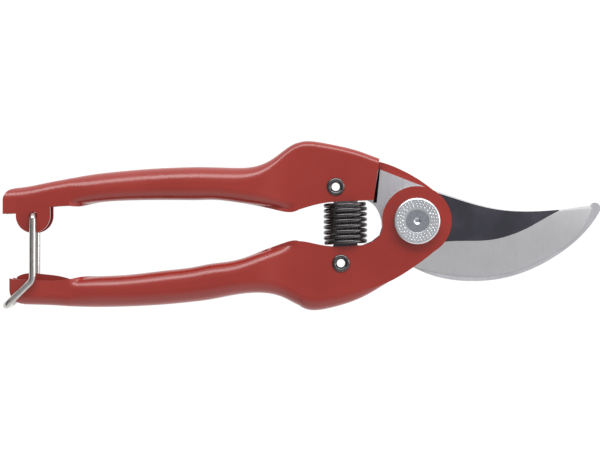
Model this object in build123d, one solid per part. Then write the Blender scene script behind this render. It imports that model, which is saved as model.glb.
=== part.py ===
from build123d import *
import math
import os

# Bypass pruning shears, lying flat: +X points to the blade tips, +Y to the upper handle and +Z to the front,
# along the pivot. The origin is the centre of the pivot bolt's rear end, which is the lowest face.
# Handle outlines are (x, y) with the spine up: the lower handle is built that way too, then turned over.

# Sheet-steel handles
sheet = 1.5
grip_half_width = 8.2
end_half_width = 7.4
head_corner = 0.7
grip_corner = 3.5
end_corner = 2.0
upper_end_rounding = 3.8
lower_end_rounding = 4.7
curl_radius = 4.4
curl_slit_half = 1.3
ear_radius = 11.4

# Stack of pieces on the pivot, from the rear
bolt_end_proud = 0.4
nut_thickness = 3.0
lock_washer_thickness = 1.3
washer_thickness = 1.0
hook_thickness = 3.2
blade_thickness = 3.0
bolt_head_thickness = 2.6
slide_gap = 0.05
turn_clearance = 0.06

# Pivot
bolt_head_radius = 7.65
bolt_recess_radius = 3.6
bolt_recess_depth = 0.5
bolt_dimple_radius = 1.1
bolt_dimple_depth = 0.5
neck_radius = 4.6
neck_half_flat = 3.9
shank_radius = 3.8
thread_radius = 3.0
nut_across_flats = 10.0
washer_radius = 6.2
lock_washer_radius = 5.0

# Tubular rivets
rivet_bore_radius = 1.35
rivet_shank_radius = 2.2
rivet_flange_radius = 2.9
rivet_flange_thickness = 0.6
spacer_radius = 3.6
upper_rivet_x, upper_rivet_y = -26.5, 11.2
lower_rivet_x, lower_rivet_y = -24.8, -13.8

# Spring between the tangs
spring_x = -23.3
spring_outer_radius = 7.2
spring_wire_radius = 0.7
spring_turns = 7.0
spring_seat_gap = 0.05
upper_seat_y = 6.35
lower_seat_y = -7.85
tang_inset = 0.6
lug_half_width = 4.2
lug_height = 2.0
lug_taper = 0.9

# Blades
edge_land = 0.15
spine_chamfer = 0.7
relief_depth = 1.6

# Latch bail, hinged in the upper handle's ears
latch_x, latch_y = -125.2, 1.7
latch_wire_radius = 1.1
latch_side_gap = 0.4
latch_hole_clearance = 0.25
latch_elbow_x, latch_elbow_y = 6.1, -20.2
latch_bar_x, latch_bar_y = 0.2, -30.5
latch_eye_bend = 1.5
latch_leg_bend = 3.0
latch_bar_bend = 2.4
latch_rest_swing = -17.0

# Heights worked out from the stack
nut_z = bolt_end_proud
lock_washer_z = nut_z + nut_thickness
washer_z = lock_washer_z + lock_washer_thickness
rear_wall_z = washer_z + washer_thickness + slide_gap
hook_z = rear_wall_z + sheet
blade_z = hook_z + hook_thickness + slide_gap
front_wall_z = blade_z + blade_thickness
bolt_head_z = front_wall_z + sheet
middle_z = (rear_wall_z + bolt_head_z) / 2
head_half_width = (bolt_head_z - rear_wall_z) / 2

# Stations along a handle: x, spine height, open-edge height, half width, inner corner radius, curl from 0 to 1
upper_end = [
    (-135.1, 10.6, 2.3, end_half_width, end_corner, 0),
    (-131.3, 10.8, 2.5, end_half_width, end_corner, 0),
    (-127.0, 11.3, 3.1, end_half_width, end_corner, 0),
    (-122.5, 12.2, 4.1, end_half_width, end_corner, 0),
    (-118.0, 13.1, 4.8, end_half_width, end_corner, 0),
    (-113.5, 13.95, 5.0, end_half_width, end_corner, 0),
]
upper_grip = [
    (-113.5, 13.95, 5.0, end_half_width, end_corner, 0),
    (-108.5, 14.85, 5.2, 7.8, 3.1, 0.6),
    (-102.5, 15.7, 6.3, grip_half_width, grip_corner, 1),
    (-95.0, 16.45, 6.75, grip_half_width, grip_corner, 1),
    (-87.0, 17.1, 6.9, grip_half_width, grip_corner, 1),
    (-79.0, 17.5, 6.9, grip_half_width, grip_corner, 1),
    (-71.0, 17.7, 6.9, grip_half_width, grip_corner, 1),
    (-64.0, 17.55, 6.8, grip_half_width, grip_corner, 1),
    (-58.0, 17.4, 6.0, 7.95, 3.3, 1),
    (-52.5, 18.0, 5.05, 7.2, 2.9, 0.85),
    (-47.5, 20.2, 4.0, 5.95, 2.2, 0.6),
    (-43.0, 23.5, 3.0, 4.9, 1.4, 0.25),
    (-38.5, 25.75, 3.8, head_half_width, head_corner, 0),
]
upper_head = [
    (-38.5, 25.75, 3.8, head_half_width, head_corner, 0),
    (-34.5, 26.15, 5.0, head_half_width, head_corner, 0),
    (-30.0, 25.5, 6.0, head_half_width, head_corner, 0),
    (-24.5, 24.4, 6.5, head_half_width, head_corner, 0),
    (-18.0, 22.6, 6.7, head_half_width, head_corner, 0),
    (-9.0, 19.8, 6.8, head_half_width, head_corner, 0),
]
lower_end = [
    (-132.9, 27.08, 18.7, end_half_width, end_corner, 0),
    (-129.2, 27.23, 19.1, end_half_width, end_corner, 0),
    (-125.3, 27.33, 19.3, end_half_width, end_corner, 0),
    (-121.4, 27.43, 19.5, end_half_width, end_corner, 0),
    (-117.5, 27.63, 19.4, end_half_width, end_corner, 0),
    (-113.5, 27.88, 19.1, end_half_width, end_corner, 0),
]
lower_grip = [
    (-113.5, 27.88, 19.1, end_half_width, end_corner, 0),
    (-108.5, 28.08, 18.2, 7.8, 3.1, 0.6),
    (-102.5, 28.13, 18.1, grip_half_width, grip_corner, 1),
    (-95.0, 27.98, 17.7, grip_half_width, grip_corner, 1),
    (-87.0, 27.63, 16.8, grip_half_width, grip_corner, 1),
    (-79.0, 27.03, 15.9, grip_half_width, grip_corner, 1),
    (-71.0, 26.18, 14.7, grip_half_width, grip_corner, 1),
    (-64.0, 25.03, 13.6, grip_half_width, grip_corner, 1),
    (-58.0, 23.93, 12.5, 7.95, 3.3, 1),
    (-52.5, 23.48, 10.5, 7.2, 3.0, 0.85),
    (-47.5, 23.88, 8.6, 5.95, 2.9, 0.6),
    (-43.0, 25.38, 7.0, 4.9, 2.9, 0.25),
    (-38.5, 27.68, 6.6, head_half_width, 2.9, 0),
]
lower_head = [
    (-38.5, 27.68, 6.6, head_half_width, 2.9, 0),
    (-34.0, 29.28, 7.3, head_half_width, 2.9, 0),
    (-29.0, 28.68, 8.2, head_half_width, 2.7, 0),
    (-23.0, 27.03, 8.25, head_half_width, 2.1, 0),
    (-15.0, 23.5, 7.9, head_half_width, 1.4, 0),
    (-5.0, 18.8, 6.6, head_half_width, head_corner, 0),
]

# Where the short wall and the spine stop, and how the long wall runs on round the pivot
upper_cut = [(-12.2, 30), (-12.2, 20.6), (-14.1, 6.9), (-15.0, 0), (10, 0), (10, 30)]
upper_arm = [(-20.5, 19.5), (-12.1, 19.5), (-5.6, 17.2), (1.0, 13.6), (6.8, 9.2)]
lower_cut = [(-9.5, 30), (-9.5, 20.6), (-13.4, 6.9), (-14.5, 0), (10, 0), (10, 30)]
lower_arm = [(-20.5, 22.5), (-8.2, 19.4), (-1.6, 15.4), (4.5, 10.9), (9.3, 6.5)]
arm_inner = [(-11.2, 1.5), (-12.4, 4.9), (-14.7, 6.8), (-20.5, 7.9)]


def between(straight, curled, amount):
    """A point part of the way from its place on a straight wall to its place on a curled one."""
    return tuple(a + (b - a) * amount for a, b in zip(straight, curled))


def wall_points(top, bottom, half, corner, curl, inset):
    """One wall's contour, spine to lip, as (z, y) points, for the outer face or the inner one (inset)."""
    fold = min(curl_radius, 0.42 * (top - bottom))
    corner += sheet
    diagonal = math.sqrt(0.5)
    spine = (half - corner, top - inset)
    spine_bend = (half - corner + (corner - inset) * diagonal, top - corner + (corner - inset) * diagonal)
    wall_top = (half - inset, top - corner)
    wall_end = (half - inset, bottom + fold)
    bend = between(
        (half - inset, bottom + 0.7 * fold),
        (half - fold + (fold - inset) * diagonal, bottom + fold - (fold - inset) * diagonal),
        curl,
    )
    fold_end = between((half - inset, bottom + 0.4 * fold), (half - fold, bottom + inset), curl)
    lip = between((half - inset, bottom), (curl_slit_half, bottom + inset), curl)
    return spine, spine_bend, wall_top, wall_end, bend, fold_end, lip


def wall_edges(x, points, side, curl):
    """The edges along one wall's contour, from the spine to the lip."""
    spine, spine_bend, wall_top, wall_end, bend, fold_end, lip = [
        Vector(x, y, side * z) for z, y in points
    ]
    fold = Edge.make_three_point_arc(wall_end, bend, fold_end) if curl else Edge.make_line(wall_end, fold_end)
    return [
        Edge.make_three_point_arc(spine, spine_bend, wall_top),
        Edge.make_line(wall_top, wall_end),
        fold,
        Edge.make_line(fold_end, lip),
    ]


def sheet_section(x, top, bottom, half, corner, curl):
    """The cut face of the bent sheet at one station: a channel, or a tube with a slit where it is curled."""
    outer = wall_points(top, bottom, half, corner, curl, 0)
    inner = wall_points(top, bottom, half, corner, curl, sheet)
    edges = []
    for side in (1, -1):
        edges += wall_edges(x, outer, side, curl) + wall_edges(x, inner, side, curl)
        out_lip, in_lip = outer[-1], inner[-1]
        edges.append(
            Edge.make_line((x, out_lip[1], side * out_lip[0]), (x, in_lip[1], side * in_lip[0]))
        )
    for points in (outer, inner):
        z, y = points[0]
        edges.append(Edge.make_line((x, y, z), (x, y, -z)))
    return Face(Wire(edges))


def plate(outline, bottom, height):
    """A flat plate with this outline, from this height up."""
    return Pos(0, 0, bottom) * extrude(outline, height)


def disc(x, y, radius, bottom, top):
    return Pos(x, y, bottom) * Cylinder(radius, top - bottom, align=(Align.CENTER, Align.CENTER, Align.MIN))


def arm_outline(arm):
    """The long wall's outline round the pivot: a smooth back edge, the ear and the opening's edge."""
    back = Spline(*arm)
    corner = Polyline(arm[-1], (0, 0), arm_inner[0])
    inner = Spline(*arm_inner)
    close = Line(arm_inner[-1], arm[0])
    return make_face([back, corner, inner, close]) + Circle(ear_radius)


def end_corner_waste(left, top, rounding):
    """What is trimmed off the spine's corner at a handle's open end."""
    x, y = left + rounding, top - rounding
    block = make_face(Polyline((left - 1, y), (left - 1, top + 2), (x, top + 2), (x, y), close=True))
    return block - Pos(x, y) * Circle(rounding)


def handle(end, grip, head, cut, arm, rounding, rivet_x, rivet_y):
    """A handle with its spine up, its long wall at the rear and its middle plane at height 0."""
    shell = loft([sheet_section(*station) for station in end])
    shell += loft([sheet_section(*station) for station in grip])
    shell += loft([sheet_section(*station) for station in head])
    shell -= plate(make_face(Polyline(*cut, close=True)), -10, 20)
    shell -= plate(end_corner_waste(end[0][0], end[0][1], rounding), -10, 20)
    shell += plate(arm_outline(arm), -head_half_width, sheet)
    shell -= disc(rivet_x, rivet_y, rivet_shank_radius + slide_gap, -20, 20)
    return shell


def neck(clearance, bottom, top):
    """The flatted neck that keys the bolt in the front ear and the blade."""
    outline = Circle(neck_radius + clearance) & Rectangle(40, 2 * (neck_half_flat + clearance))
    return plate(outline, bottom, top - bottom)


def upper_handle():
    stations = (upper_end, upper_grip, upper_head)
    body = handle(*stations, upper_cut, upper_arm, upper_end_rounding, upper_rivet_x, upper_rivet_y)
    lobe_radius = 5.6
    lobe = Pos(latch_x, latch_y) * Circle(lobe_radius) & Pos(latch_x, latch_y) * Rectangle(20, 20)
    root = Pos(latch_x, latch_y + 3) * Rectangle(2 * lobe_radius, 6)
    for bottom in (-end_half_width, end_half_width - sheet):
        body += plate(lobe + root, bottom, sheet)
    body -= disc(latch_x, latch_y, latch_wire_radius + latch_hole_clearance, -20, 20)
    body -= disc(0, 0, shank_radius + turn_clearance, -20, 20)
    return Pos(0, 0, middle_z) * body


def lower_handle():
    stations = (lower_end, lower_grip, lower_head)
    body = handle(*stations, lower_cut, lower_arm, lower_end_rounding, lower_rivet_x, -lower_rivet_y)
    lip_edge = Spline((-131.6, 18.4), (-128.6, 17.3), (-123.0, 17.5), (-118.6, 18.0), (-113.6, 19.3))
    lip_base = Polyline((-113.6, 19.3), (-114.5, 21.0), (-131.6, 21.0), (-131.6, 18.4))
    body += plate(make_face([lip_edge, lip_base]), end_half_width - sheet, sheet)
    body = Pos(0, 0, middle_z) * Rot(180, 0, 0) * body
    body -= neck(slide_gap, -20, 40)
    return body


def spring_lug(seat_y, direction):
    """A tang's lug inside the spring's end, from its right foot to its left one."""
    base = seat_y - direction * tang_inset
    top = seat_y + direction * lug_height
    foot, crown = lug_half_width, lug_half_width - lug_taper
    return [
        (spring_x + foot, base),
        (spring_x + crown, top),
        (spring_x - crown, top),
        (spring_x - foot, base),
    ]


def cutting_blade():
    """The blade: its rear face has the whole outline, and its front stops where the grind begins."""
    tang = [(-32.6, lower_seat_y - tang_inset), (-31.0, -17.5), (-14.0, -18.2), (-1.2, -14.9)]
    front = [(-14.7, -6.6), (-12.2, -4.6), (-11.1, -1.0)]
    spine = [(5.0, 10.3), (13.0, 7.7), (20.0, 5.5), (27.0, 3.95), (36.0, 3.25), (46.0, 3.65)]
    edge = [(57.5, 4.1), (53.7, -3.5), (43.6, -11.4), (30.2, -16.9), (17.4, -18.2), (5.0, -16.5), tang[-1]]
    grind = [(46.6, 3.4), (40.7, 0.2), (35.8, -2.5), (30.4, -4.7), (24.0, -6.2), (15.0, -6.5), (3.0, -8.2)]

    chamfered = [(x, y - spine_chamfer * (1 - x / spine[-1][0])) for x, y in spine]

    def outline(back, point, lower_edge):
        around = ThreePointArc(front[-1], (-5.5, 9.8), back[0])
        return make_face(
            [
                Polyline(tang[0], *reversed(spring_lug(lower_seat_y, 1)), *front),
                around,
                Spline(*back),
                Line(back[-1], point),
                Line(point, lower_edge[0]),
                Spline(*lower_edge),
                Polyline(lower_edge[-1], *reversed(tang[:-1])),
            ]
        )

    whole = outline(spine, (57.0, 5.1), edge)
    ground = outline(chamfered, (46.4, 3.6), grind)
    body = plate(whole, blade_z, edge_land)
    body += loft(
        [Pos(0, 0, blade_z + edge_land) * whole, Pos(0, 0, blade_z + blade_thickness) * ground], ruled=True
    )
    body -= neck(slide_gap, -20, 40)
    body -= disc(lower_rivet_x, lower_rivet_y, rivet_shank_radius + slide_gap, -20, 40)
    return body


def counter_blade():
    """The hooked counter blade, with its tang against the upper handle's rear wall."""
    tang = [(-32.6, upper_seat_y + tang_inset), (-31.0, 17.2), (-12.1, 17.0), (-0.2, 12.3)]
    inner = [(9.6, 3.0), (14.0, -8.0), (24.0, -11.6), (36.0, -9.6), (48.0, -3.2), (57.8, 5.9)]
    outer = [(60.3, 3.5), (55.8, -3.0), (47.0, -10.65), (37.2, -16.0), (27.3, -18.95), (17.3, -19.7)]
    outer += [(7.0, -18.35), (-1.0, -15.1)]
    heel = [(-7.0, -8.8), (-10.6, -4.2), (-11.5, 0.2), (-13.1, 4.2), (-16.7, upper_seat_y + tang_inset)]
    outline = make_face(
        [
            Polyline(*tang),
            ThreePointArc(tang[-1], (6.0, 8.8), inner[0]),
            Spline(*inner),
            ThreePointArc(inner[-1], (59.6, 5.7), outer[0]),
            Spline(*outer),
            Line(outer[-1], heel[0]),
            Spline(*heel),
            Polyline(heel[-1], *spring_lug(upper_seat_y, -1), tang[0]),
        ]
    )
    body = plate(outline, hook_z, hook_thickness)
    body -= disc(0, 0, shank_radius + turn_clearance, -20, 40)
    body -= disc(upper_rivet_x, upper_rivet_y, rivet_shank_radius + slide_gap, -20, 40)
    groove = make_face(Polyline((-12.3, 18), (-11.8, 18), (-13.0, 6), (-14.2, 6), close=True))
    return body - plate(groove, hook_z + hook_thickness - relief_depth, relief_depth)


def pivot_bolt():
    rim = 0.6
    top = bolt_head_z + bolt_head_thickness
    head = disc(0, 0, bolt_head_radius, bolt_head_z, top)
    head = chamfer(head.edges().group_by(Axis.Z)[-1], rim)
    head -= disc(0, 0, bolt_recess_radius, top - bolt_recess_depth, top + 1)
    head -= disc(0, 0, bolt_dimple_radius, top - bolt_recess_depth - bolt_dimple_depth, top)
    shoulder = washer_z + washer_thickness
    body = head + neck(0, blade_z, bolt_head_z)
    body += disc(0, 0, shank_radius, shoulder, blade_z)
    body += disc(0, 0, thread_radius, 0, shoulder)
    return body


def ring(outer_radius, inner_radius, bottom, thickness):
    return disc(0, 0, outer_radius, bottom, bottom + thickness) - disc(0, 0, inner_radius, bottom - 1, bottom + 20)


def pivot_nut():
    corner_radius = nut_across_flats / math.sqrt(3)
    body = plate(RegularPolygon(corner_radius, 6), nut_z, nut_thickness)
    return body - disc(0, 0, thread_radius + slide_gap, -1, 20)


def lock_washer():
    body = ring(lock_washer_radius, thread_radius + slide_gap, lock_washer_z, lock_washer_thickness)
    split = Pos(lock_washer_radius, 0, lock_washer_z) * Rot(0, 0, 20) * Box(8, 0.6, 8)
    return body - split


def rivet(x, y):
    """A tubular rivet, closed over both walls."""
    low = rear_wall_z - rivet_flange_thickness
    high = bolt_head_z + rivet_flange_thickness
    body = disc(x, y, rivet_shank_radius, low, high)
    body += disc(x, y, rivet_flange_radius, low, rear_wall_z)
    body += disc(x, y, rivet_flange_radius, bolt_head_z, high)
    rims = [e for e in body.edges() if abs(e.center().Z - low) < 0.01 or abs(e.center().Z - high) < 0.01]
    body = chamfer(rims, 0.35)
    return body - disc(x, y, rivet_bore_radius, -20, 40)


def rivet_spacer(x, y, bottom, top):
    outer = disc(x, y, spacer_radius, bottom, top)
    return outer - disc(x, y, rivet_shank_radius + slide_gap, bottom - 1, top + 1)


def return_spring():
    coil_radius = spring_outer_radius - spring_wire_radius
    end_inset = spring_seat_gap + spring_wire_radius
    height = upper_seat_y - lower_seat_y - 2 * end_inset
    path = Helix(pitch=height / spring_turns, height=height, radius=coil_radius)
    start = Plane(origin=path @ 0, z_dir=path % 0)
    wire = sweep(start * Circle(spring_wire_radius), path, is_frenet=True)
    base = Pos(spring_x, lower_seat_y + end_inset, middle_z)
    return base * Rot(-90, 0, 0) * wire


def latch_bail():
    """The bail: two legs with an elbow, a bar across, and ends bent into the ears."""
    leg = end_half_width + latch_side_gap + latch_wire_radius
    tip = end_half_width - sheet - 1.0
    bar = (latch_bar_x, latch_bar_y)
    elbow = (latch_elbow_x, latch_elbow_y)
    points = [(0, 0, tip), (0, 0, leg), (*elbow, leg), (*bar, leg)]
    points += [(x, y, -z) for x, y, z in reversed(points)]
    bends = [latch_eye_bend, latch_leg_bend, latch_bar_bend]
    path = FilletPolyline(*points, radius=bends + bends[::-1])
    start = Plane(origin=points[0], z_dir=(0, 0, 1))
    wire = sweep(start * Circle(latch_wire_radius), path)
    return Pos(latch_x, latch_y, middle_z) * Rot(0, 0, latch_rest_swing) * wire


os.makedirs("parts", exist_ok=True)
parts = {
    "upper_handle": upper_handle(),
    "lower_handle": lower_handle(),
    "cutting_blade": cutting_blade(),
    "counter_blade": counter_blade(),
    "pivot_bolt": pivot_bolt(),
    "pivot_washer": ring(washer_radius, thread_radius + slide_gap, washer_z, washer_thickness),
    "pivot_lock_washer": lock_washer(),
    "pivot_nut": pivot_nut(),
    "upper_rivet": rivet(upper_rivet_x, upper_rivet_y),
    "lower_rivet": rivet(lower_rivet_x, lower_rivet_y),
    "upper_rivet_spacer": rivet_spacer(upper_rivet_x, upper_rivet_y, hook_z + hook_thickness, front_wall_z),
    "lower_rivet_spacer": rivet_spacer(lower_rivet_x, lower_rivet_y, hook_z, blade_z),
    "return_spring": return_spring(),
    "latch_bail": latch_bail(),
}
for name, shape in parts.items():
    export_step(shape, f"parts/{name}.step")
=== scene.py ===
"""Looks for a pair of bypass pruning shears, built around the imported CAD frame.

Lengths are in metres. The pivot stands along +Z through the origin, the blades point to +X
and the upper handle lies on the +Y side.
"""

import math

import bmesh
import bpy
from mathutils import Matrix, Vector


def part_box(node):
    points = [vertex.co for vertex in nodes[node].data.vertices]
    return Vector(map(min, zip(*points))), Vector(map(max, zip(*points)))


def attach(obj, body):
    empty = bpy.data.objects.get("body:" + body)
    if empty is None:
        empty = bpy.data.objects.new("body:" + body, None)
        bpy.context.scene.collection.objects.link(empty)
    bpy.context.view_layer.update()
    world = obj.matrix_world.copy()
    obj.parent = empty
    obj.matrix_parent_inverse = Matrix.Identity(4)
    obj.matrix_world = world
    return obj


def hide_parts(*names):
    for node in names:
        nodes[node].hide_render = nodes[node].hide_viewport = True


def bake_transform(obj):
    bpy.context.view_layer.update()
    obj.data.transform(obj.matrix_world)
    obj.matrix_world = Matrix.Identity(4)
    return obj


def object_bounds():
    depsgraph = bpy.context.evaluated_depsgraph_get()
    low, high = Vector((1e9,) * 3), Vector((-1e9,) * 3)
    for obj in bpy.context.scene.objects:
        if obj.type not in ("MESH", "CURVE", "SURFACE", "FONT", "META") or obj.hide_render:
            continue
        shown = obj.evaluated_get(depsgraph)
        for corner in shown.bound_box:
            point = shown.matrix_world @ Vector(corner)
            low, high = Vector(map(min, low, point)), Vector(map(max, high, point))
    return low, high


MM = 0.001
FULL_TURN = 2 * math.pi
MERGE_DISTANCE = 0.001 * MM

BOLT_HEAD_HEIGHT = 2.6 * MM

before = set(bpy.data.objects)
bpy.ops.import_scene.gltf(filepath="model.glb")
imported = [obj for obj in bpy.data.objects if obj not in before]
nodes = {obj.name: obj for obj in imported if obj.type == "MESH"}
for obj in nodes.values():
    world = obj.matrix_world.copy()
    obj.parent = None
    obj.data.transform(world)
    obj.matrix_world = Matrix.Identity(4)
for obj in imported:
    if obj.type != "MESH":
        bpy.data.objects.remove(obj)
cad_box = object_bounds()


# Shader building

def new_material(name):
    """A material with only its Principled shader and output."""
    material = bpy.data.materials.new(name)
    material.use_nodes = True
    return material


def shader_of(material):
    return material.node_tree.nodes["Principled BSDF"]


def link(material, output, target):
    material.node_tree.links.new(output, target)


def add_group(material, group, **values):
    """A shader node group placed in a material with its own input values."""
    node = material.node_tree.nodes.new("ShaderNodeGroup")
    node.node_tree = group
    for name, value in values.items():
        node.inputs[name].default_value = value
    return node


def start_group(name, inputs, outputs):
    """An empty node group with these number inputs and these outputs, and its two end nodes."""
    group = bpy.data.node_groups.new(name, "ShaderNodeTree")
    for socket in inputs:
        group.interface.new_socket(name=socket, in_out="INPUT", socket_type="NodeSocketFloat")
    for socket, kind in outputs.items():
        group.interface.new_socket(name=socket, in_out="OUTPUT", socket_type=kind)
    return group, group.nodes.new("NodeGroupInput"), group.nodes.new("NodeGroupOutput")


def math_node(tree, operation, a, b=None):
    """A Math node; a is a socket, and b is a socket, a number or left out."""
    node = tree.nodes.new("ShaderNodeMath")
    node.operation = operation
    tree.links.new(a, node.inputs[0])
    if isinstance(b, float):
        node.inputs[1].default_value = b
    elif b is not None:
        tree.links.new(b, node.inputs[1])
    return node.outputs[0]


def ramp_node(tree, value, low, high, start=0.0, end=1.0):
    """value stretched from low..high to start..end, and held at the ends."""
    node = tree.nodes.new("ShaderNodeMapRange")
    tree.links.new(value, node.inputs["Value"])
    for name, number in (("From Min", low), ("From Max", high), ("To Min", start), ("To Max", end)):
        node.inputs[name].default_value = number
    return node.outputs["Result"]


def mix_colors(tree, factor, first, second):
    """A colour between first and second; each is a socket or a colour."""
    node = tree.nodes.new("ShaderNodeMix")
    node.data_type = "RGBA"
    tree.links.new(factor, node.inputs["Factor"])
    for socket, value in ((node.inputs[6], first), (node.inputs[7], second)):
        if isinstance(value, tuple):
            socket.default_value = (*value, 1)
        else:
            tree.links.new(value, socket)
    return node.outputs[2]


def object_noise(tree, scale, detail, stretch=(1, 1, 1)):
    """Noise on Object coordinates, drawn out along the axes with a small stretch."""
    place = tree.nodes.new("ShaderNodeTexCoord")
    mapping = tree.nodes.new("ShaderNodeMapping")
    mapping.inputs["Scale"].default_value = stretch
    tree.links.new(place.outputs["Object"], mapping.inputs["Vector"])
    noise = tree.nodes.new("ShaderNodeTexNoise")
    noise.inputs["Detail"].default_value = detail
    tree.links.new(scale, noise.inputs["Scale"])
    tree.links.new(mapping.outputs["Vector"], noise.inputs["Vector"])
    return noise.outputs["Fac"]


def make_grain(name, detail, stretch):
    """Fine marks in a surface: a mask about 0.5 and a normal bumped by it."""
    group, inputs, outputs = start_group(
        name, ("Scale", "Height"), {"Mask": "NodeSocketFloat", "Normal": "NodeSocketVector"}
    )
    mask = object_noise(group, inputs.outputs["Scale"], detail, stretch)
    bump = group.nodes.new("ShaderNodeBump")
    group.links.new(inputs.outputs["Height"], bump.inputs["Distance"])
    group.links.new(mask, bump.inputs["Height"])
    group.links.new(mask, outputs.inputs["Mask"])
    group.links.new(bump.outputs["Normal"], outputs.inputs["Normal"])
    return group


def make_handling_marks():
    """Smudges and thin dust, as a slow mask: 0 where clean and 1 where dull."""
    clean, dull = 0.38, 0.68
    group, inputs, outputs = start_group("handling_marks", ("Scale",), {"Mask": "NodeSocketFloat"})
    noise = object_noise(group, inputs.outputs["Scale"], detail=4.0)
    group.links.new(ramp_node(group, noise, clean, dull), outputs.inputs["Mask"])
    return group


surface_grain = make_grain("surface_grain", detail=3.0, stretch=(1, 1, 1))
grind_lines = make_grain("grind_lines", detail=4.0, stretch=(1.0, 0.06, 1.0))
handling_marks = make_handling_marks()


# Materials

RED_DEEP = (0.280, 0.0165, 0.0090)
RED_WORN = (0.312, 0.0215, 0.0130)
GROUND_STEEL = ((0.62, 0.62, 0.63), (0.655, 0.655, 0.665))
BLACK_OXIDE = ((0.088, 0.086, 0.105), (0.120, 0.117, 0.142))
# Painted shade: a near-black that stands in for the shadow deep in the counter blade's relief
# groove.
GROOVE_PAINTED_SHADE = (0.012, 0.010, 0.010)

# Where the painted shade in the groove of the counter blade's tang fades in and out, from its left
# end to its right end, up from its lower end, and down from the tang's front face.
GROOVE_LEFT = (-16.0 * MM, -15.5 * MM)
GROOVE_RIGHT = (-11.6 * MM, -11.2 * MM)
GROOVE_LOWER_END = (5.6 * MM, 6.2 * MM)
GROOVE_DEPTH = (1.2 * MM, 0.3 * MM)


def make_red_enamel():
    """Glossy stove enamel: deep red with a slightly uneven skin and a few dull marks."""
    material = new_material("red_enamel")
    tree = material.node_tree
    shader = shader_of(material)
    shader.inputs["Specular IOR Level"].default_value = 0.5
    shader.inputs["Coat Roughness"].default_value = 0.17
    shader.inputs["Coat Weight"].default_value = 0.45
    marks = add_group(material, handling_marks, Scale=40.0).outputs["Mask"]
    skin = add_group(material, surface_grain, Scale=160.0, Height=0.000005)
    link(material, mix_colors(tree, marks, RED_DEEP, RED_WORN), shader.inputs["Base Color"])
    link(material, ramp_node(tree, marks, 0, 1, 0.26, 0.36), shader.inputs["Roughness"])
    link(material, skin.outputs["Normal"], shader.inputs["Normal"])
    return material


def grain_tone(tree, lines):
    """How far a grain's mask moves a metal from its darker to its lighter tone."""
    darker, lighter = 0.3, 0.7
    return ramp_node(tree, lines.outputs["Mask"], darker, lighter)


def make_metal(name, tones, roughness, grain, grain_scale, grain_height):
    """A bare or plated metal: two tones mixed by its grain, and a roughness range."""
    material = new_material(name)
    tree = material.node_tree
    shader = shader_of(material)
    shader.inputs["Metallic"].default_value = 1.0
    lines = add_group(material, grain, Scale=grain_scale, Height=grain_height)
    marks = add_group(material, handling_marks, Scale=70.0).outputs["Mask"]
    color = mix_colors(tree, grain_tone(tree, lines), *tones)
    link(material, color, shader.inputs["Base Color"])
    link(material, ramp_node(tree, marks, 0, 1, *roughness), shader.inputs["Roughness"])
    link(material, lines.outputs["Normal"], shader.inputs["Normal"])
    return material


def flat_mask(tree):
    """1 on faces square to the pivot and 0 on faces tilted away from it."""
    tilted, square = 0.992, 0.998
    geometry = tree.nodes.new("ShaderNodeNewGeometry")
    transform = tree.nodes.new("ShaderNodeVectorTransform")
    transform.vector_type = "NORMAL"
    transform.convert_from = "WORLD"
    transform.convert_to = "OBJECT"
    tree.links.new(geometry.outputs["True Normal"], transform.inputs["Vector"])
    split = tree.nodes.new("ShaderNodeSeparateXYZ")
    tree.links.new(transform.outputs["Vector"], split.inputs["Vector"])
    return ramp_node(tree, math_node(tree, "ABSOLUTE", split.outputs["Z"]), tilted, square)


def make_blade_steel():
    """Black oxide on the flat of the blade, bright steel on the ground bevel and the edges."""
    material = new_material("blade_steel")
    tree = material.node_tree
    shader = shader_of(material)
    shader.inputs["Metallic"].default_value = 1.0
    lines = add_group(material, grind_lines, Scale=1300.0, Height=0.0000008)
    marks = add_group(material, handling_marks, Scale=90.0).outputs["Mask"]
    flat = flat_mask(tree)
    ground = mix_colors(tree, grain_tone(tree, lines), *GROUND_STEEL)
    oxide = mix_colors(tree, marks, *BLACK_OXIDE)
    link(material, mix_colors(tree, flat, ground, oxide), shader.inputs["Base Color"])
    bevel_roughness, oxide_roughness, mark_roughness = 0.40, 0.34, 0.08
    clean = ramp_node(tree, flat, 0, 1, bevel_roughness, oxide_roughness)
    dulling = math_node(tree, "MULTIPLY", marks, mark_roughness)
    link(material, math_node(tree, "ADD", clean, dulling), shader.inputs["Roughness"])
    link(material, lines.outputs["Normal"], shader.inputs["Normal"])
    return material


def make_hook_steel():
    """Uniform rolled steel, with painted shade in the relief groove beside the upper handle's wall.
    """
    material = make_metal(
        "hook_steel",
        tones=((0.67, 0.66, 0.69), (0.73, 0.72, 0.75)),
        roughness=(0.40, 0.50),
        grain=grind_lines,
        grain_scale=800.0,
        grain_height=0.000001,
    )
    tree = material.node_tree
    shader = shader_of(material)
    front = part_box("counter_blade")[1].z
    place = tree.nodes.new("ShaderNodeTexCoord")
    split = tree.nodes.new("ShaderNodeSeparateXYZ")
    tree.links.new(place.outputs["Object"], split.inputs["Vector"])
    deep, shallow = (front - depth for depth in GROOVE_DEPTH)
    below = ramp_node(tree, split.outputs["Z"], deep, shallow, 1, 0)
    left = ramp_node(tree, split.outputs["X"], *GROOVE_LEFT)
    right = ramp_node(tree, split.outputs["X"], *GROOVE_RIGHT, 1, 0)
    above = ramp_node(tree, split.outputs["Y"], *GROOVE_LOWER_END)
    across = math_node(tree, "MULTIPLY", left, right)
    within = math_node(tree, "MULTIPLY", below, above)
    # Painted shade: the groove mask mixes the steel towards near-black where shadow falls in the
    # recess.
    groove = math_node(tree, "MULTIPLY", across, within)
    plain = shader.inputs["Base Color"].links[0].from_socket
    color = mix_colors(tree, groove, plain, GROOVE_PAINTED_SHADE)
    link(material, color, shader.inputs["Base Color"])
    return material


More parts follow.
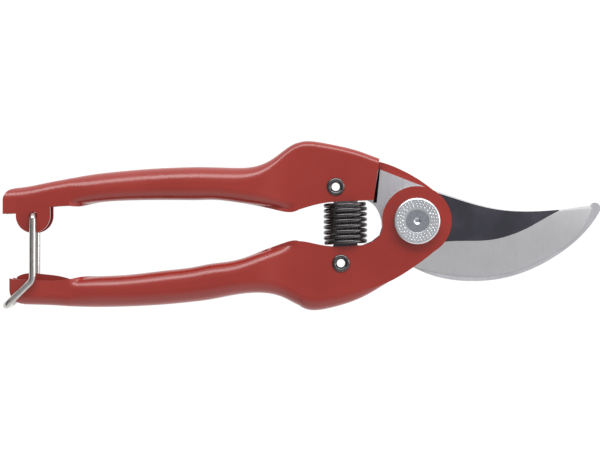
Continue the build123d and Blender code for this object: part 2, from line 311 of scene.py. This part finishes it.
red_enamel = make_red_enamel()
blade_steel = make_blade_steel()
hook_steel = make_hook_steel()
zinc_plate = make_metal(
    "zinc_plate",
    tones=((0.68, 0.70, 0.73), (0.82, 0.84, 0.86)),
    roughness=(0.28, 0.38),
    grain=surface_grain,
    grain_scale=1600.0,
    grain_height=0.00001,
)
turned_zinc = make_metal(
    "turned_zinc",
    tones=((0.42, 0.44, 0.49), (0.54, 0.56, 0.61)),
    roughness=(0.20, 0.30),
    grain=surface_grain,
    grain_scale=1200.0,
    grain_height=0.000004,
)
dark_steel = make_metal(
    "dark_steel",
    tones=((0.075, 0.071, 0.073), (0.115, 0.110, 0.112)),
    roughness=(0.22, 0.30),
    grain=surface_grain,
    grain_scale=500.0,
    grain_height=0.000001,
)
rivet_steel = make_metal(
    "rivet_steel",
    tones=((0.085, 0.080, 0.080), (0.16, 0.155, 0.155)),
    roughness=(0.20, 0.30),
    grain=surface_grain,
    grain_scale=1200.0,
    grain_height=0.000004,
)
nickel_wire = make_metal(
    "nickel_wire",
    tones=((0.46, 0.44, 0.425), (0.58, 0.56, 0.54)),
    roughness=(0.08, 0.16),
    grain=surface_grain,
    grain_scale=900.0,
    grain_height=0.000002,
)

finish_of = {
    "upper_handle": red_enamel,
    "lower_handle": red_enamel,
    "cutting_blade": blade_steel,
    "counter_blade": hook_steel,
    "pivot_bolt": zinc_plate,
    "pivot_washer": zinc_plate,
    "pivot_lock_washer": zinc_plate,
    "pivot_nut": zinc_plate,
    "upper_rivet": dark_steel,
    "lower_rivet": dark_steel,
    "upper_rivet_spacer": dark_steel,
    "lower_rivet_spacer": dark_steel,
    "latch_bail": nickel_wire,
    "return_spring": dark_steel,
}


def set_finish(obj, material):
    """One material on the whole piece."""
    obj.data.materials.clear()
    obj.data.materials.append(material)


for node_name, finish in finish_of.items():
    set_finish(nodes[node_name], finish)


# Pieces made here

def piece_from(name, bm, material, sharp_degrees=None):
    """A new piece from a bmesh, smooth up to the sharp angle, with its finish."""
    bmesh.ops.recalc_face_normals(bm, faces=bm.faces)
    mesh = bpy.data.meshes.new(name)
    bm.to_mesh(mesh)
    bm.free()
    mesh.shade_smooth()
    if sharp_degrees:
        mesh.set_sharp_from_angle(angle=math.radians(sharp_degrees))
    obj = bpy.data.objects.new(name, mesh)
    bpy.context.scene.collection.objects.link(obj)
    set_finish(obj, material)
    return obj


def turn_outline(bm, outline, x, y, steps):
    """A (radius, height) outline spun about an upright line through x, y.

    An outline that starts on that line closes there, and any other is closed into a ring.
    """
    points = [bm.verts.new((x + radius, y, height)) for radius, height in outline]
    pairs = list(zip(points, points[1:]))
    if outline[0][0] > 0:
        pairs.append((points[-1], points[0]))
    edges = [bm.edges.new(pair) for pair in pairs]
    bmesh.ops.spin(
        bm,
        geom=points + edges,
        cent=(x, y, 0),
        axis=(0, 0, 1),
        angle=FULL_TURN,
        steps=steps,
        use_merge=True,
    )
    bmesh.ops.remove_doubles(bm, verts=bm.verts, dist=MERGE_DISTANCE)


def wind_spring():
    """The return spring: a round wire wound close at both ends and open between."""
    low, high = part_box("return_spring")
    axis = (low + high) / 2
    wire = 0.7 * MM
    wire_sides = 16
    wire_end_angle = math.radians(15)
    radius = (high.x - low.x) / 2 - wire
    steps_per_turn = 40
    closed_turns = 0.65
    open_turns = 6.1
    closed_pitch = 2.1 * wire
    closed_rise = closed_pitch * closed_turns
    open_rise = high.y - low.y - 2 * wire - 2 * closed_rise
    closed_end = (closed_turns, closed_rise)

    bm = bmesh.new()
    wire_face = bmesh.ops.create_circle(bm, cap_ends=True, radius=wire, segments=wire_sides)
    start = Matrix.Rotation(wire_end_angle, 4, "Y") @ Matrix.Translation((-radius, 0, 0))
    place = Matrix.Translation((axis.x, low.y + wire, axis.z)) @ start
    bmesh.ops.transform(bm, matrix=place, verts=wire_face["verts"])
    end = list(bm.faces)
    for turns, rise in (closed_end, (open_turns, open_rise), closed_end):
        steps = round(turns * steps_per_turn)
        spun = bmesh.ops.spin(
            bm,
            geom=end,
            cent=(axis.x, 0, axis.z),
            axis=(0, 1, 0),
            dvec=(0, rise / steps, 0),
            angle=FULL_TURN * turns,
            steps=steps,
            use_duplicate=False,
        )
        end = [item for item in spun["geom_last"] if isinstance(item, bmesh.types.BMFace)]
    bmesh.ops.remove_doubles(bm, verts=bm.verts, dist=wire / 100)
    spring = piece_from("coil_spring", bm, dark_steel)
    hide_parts("return_spring")
    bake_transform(spring)


def make_tubular_rivet(node, body):
    """A tubular rivet with a flared mouth, a rolled flange at both faces and a clear bore."""
    low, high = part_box(node)
    center = (low + high) / 2
    shank_radius = 2.15
    flange_height = 0.6
    # Radius and depth below the face, in millimetres.
    flare = [(1.36, 1.5), (1.42, 0.9), (1.58, 0.42), (1.84, 0.12), (2.1, 0.0)]
    flange = [(2.4, 0.0), (2.66, 0.10), (2.84, 0.26), (2.88, 0.42), (2.84, flange_height)]
    half = flare + flange + [(shank_radius, flange_height)]
    front = [(radius * MM, high.z - depth * MM) for radius, depth in half]
    rear = [(radius * MM, low.z + depth * MM) for radius, depth in reversed(half)]
    bm = bmesh.new()
    turn_outline(bm, front + rear, center.x, center.y, steps=64)
    piece = piece_from(f"{node}_rolled", bm, rivet_steel, sharp_degrees=40)
    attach(piece, body)
    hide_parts(node)


def bolt_outline(top, bottom):
    """The bolt from the middle of its head to the middle of its end, as (radius, height)."""
    wall = top - BOLT_HEAD_HEIGHT
    # Radius and depth below the top of the head, in millimetres.
    dish = [
        (0.0, 0.72), (0.35, 0.69), (0.72, 0.57), (0.95, 0.42), (1.12, 0.32), (1.3, 0.29),
        (2.4, 0.25),
    ]
    step = [(3.5, 0.20), (3.75, 0.17), (3.9, 0.10), (4.05, 0.06)]
    rim = [
        (6.5, 0.06), (6.75, 0.0), (7.05, 0.0), (7.35, 0.1), (7.56, 0.35), (7.64, 0.75),
        (7.64, 2.3), (7.5, 2.6),
    ]
    outline = [(radius * MM, top - depth * MM) for radius, depth in dish + step + rim]

    collar_radius, shoulder_radius = 4.5 * MM, 3.75 * MM
    collar_end = wall - 1.5 * MM
    shoulder_end = bottom + 5.3 * MM
    outline += [(collar_radius, wall), (collar_radius, collar_end)]
    outline += [(shoulder_radius, collar_end), (shoulder_radius, shoulder_end)]

    crest_radius, root_radius = 3.0 * MM, 2.72 * MM
    pitch = 0.5 * MM
    threads = 9
    thread_start = bottom + 5.0 * MM
    for turn in range(threads):
        height = thread_start - turn * pitch
        outline += [(crest_radius, height), (root_radius, height - pitch / 2)]
    end_radius, chamfer = 2.7 * MM, 0.4 * MM
    return outline + [(crest_radius, bottom + chamfer), (end_radius, bottom), (0.0, bottom)]


def add_pips(bm, top):
    """Three rings of raised pips on the bolt head, long and short in turn."""
    shortest, longest, lengths = 0.6, 1.4, 5
    pip_height = 0.16 * MM
    pip_width = 0.26 * MM
    field = top - 0.06 * MM
    for radius, count, length in ((4.75, 24, 0.34), (5.6, 31, 0.30), (6.4, 37, 0.24)):
        for index in range(count):
            share = (index * 7) % lengths / (lengths - 1)
            stretch = shortest + (longest - shortest) * share
            around = Matrix.Rotation(FULL_TURN * index / count, 4, "Z")
            place = Matrix.Translation((radius * MM, 0, field))
            size = Matrix.Diagonal((length * stretch * MM, pip_width, pip_height, 1))
            bmesh.ops.create_uvsphere(
                bm, u_segments=10, v_segments=6, radius=1, matrix=around @ place @ size
            )


def make_pivot_bolt():
    """The pivot bolt: a domed rim, a field of raised pips, a turned dish and a thread."""
    low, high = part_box("pivot_bolt")
    dish_radius = 3.85 * MM
    dish_floor = high.z - 1.0 * MM
    bm = bmesh.new()
    turn_outline(bm, bolt_outline(high.z, low.z), 0, 0, steps=96)
    add_pips(bm, high.z)
    piece = piece_from("pivot_bolt_pipped", bm, zinc_plate, sharp_degrees=50)
    piece.data.materials.append(turned_zinc)
    for face in piece.data.polygons:
        center = face.center
        if center.z > dish_floor and math.hypot(center.x, center.y) < dish_radius:
            face.material_index = 1
    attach(piece, "lower")
    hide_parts("pivot_bolt")


wind_spring()
make_tubular_rivet("upper_rivet", "upper")
make_tubular_rivet("lower_rivet", "lower")
make_pivot_bolt()


# Floor, light and camera

FLOOR_HALF_WIDTH = 3.0
FLOOR_GAP = 0.2 * MM
MIDDLE_OF_SHEARS = Vector((-0.04, 0, 0))


def make_floor():
    """A white, lit floor that the shears lie on."""
    material = new_material("white_floor")
    shader = shader_of(material)
    shader.inputs["Base Color"].default_value = (0.06, 0.06, 0.06, 1)
    shader.inputs["Roughness"].default_value = 0.9
    shader.inputs["Specular IOR Level"].default_value = 0.0
    shader.inputs["Emission Color"].default_value = (1, 1, 1, 1)
    shader.inputs["Emission Strength"].default_value = 1.0
    bm = bmesh.new()
    bmesh.ops.create_grid(bm, x_segments=1, y_segments=1, size=FLOOR_HALF_WIDTH)
    mesh = bpy.data.meshes.new("floor")
    bm.to_mesh(mesh)
    bm.free()
    floor = bpy.data.objects.new("floor", mesh)
    floor.location.z = cad_box[0].z - FLOOR_GAP
    bpy.context.scene.collection.objects.link(floor)
    set_finish(floor, material)


def add_softbox(name, place, size, power):
    """A rectangular softbox turned to the middle of the shears."""
    light = bpy.data.lights.new(name, "AREA")
    light.shape = "RECTANGLE"
    light.size, light.size_y = size
    light.energy = power
    obj = bpy.data.objects.new(name, light)
    obj.location = place
    aim = MIDDLE_OF_SHEARS - Vector(place)
    obj.rotation_euler = aim.to_track_quat("-Z", "Y").to_euler()
    bpy.context.scene.collection.objects.link(obj)


def make_world():
    """White surroundings that fall to grey overhead and towards the left side."""
    world = bpy.data.worlds.new("studio")
    world.use_nodes = True
    tree = world.node_tree
    background = tree.nodes["Background"]
    place = tree.nodes.new("ShaderNodeTexCoord")
    split = tree.nodes.new("ShaderNodeSeparateXYZ")
    tree.links.new(place.outputs["Generated"], split.inputs["Vector"])
    side_height, overhead_height = 0.55, 0.92
    height = ramp_node(tree, split.outputs["Z"], side_height, overhead_height)
    shade = mix_colors(tree, height, (1.0, 1.0, 1.0), (0.46, 0.46, 0.47))
    tree.links.new(shade, background.inputs["Color"])
    far_left, near_left, far_left_strength = -0.85, -0.25, 0.12
    left_fall = ramp_node(tree, split.outputs["X"], far_left, near_left, far_left_strength, 1.0)
    tree.links.new(left_fall, background.inputs["Strength"])
    bpy.context.scene.world = world


def make_stage():
    """The floor, the surroundings, and a softbox behind the upper handle and one at the tips."""
    make_floor()
    make_world()
    bpy.context.scene.view_settings.view_transform = "Standard"
    add_softbox("top_softbox", place=(-0.04, 0.75, 0.62), size=(1.4, 0.42), power=8)
    add_softbox("right_softbox", place=(1.0, 0.15, 0.42), size=(0.4, 0.6), power=2.5)


def make_camera():
    """Straight down along the pivot, from about a metre above the front walls."""
    front_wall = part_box("pivot_bolt")[1].z - BOLT_HEAD_HEIGHT
    center_x, center_y = -38.2 * MM, -1.3 * MM
    distance = 1.02
    view_width = 0.196
    camera = bpy.data.cameras.new("camera")
    camera.sensor_width = 36
    camera.lens = camera.sensor_width * distance / view_width
    obj = bpy.data.objects.new("camera", camera)
    obj.location = (center_x, center_y, front_wall + distance)
    bpy.context.scene.collection.objects.link(obj)
    bpy.context.scene.camera = obj


make_stage()
make_camera()
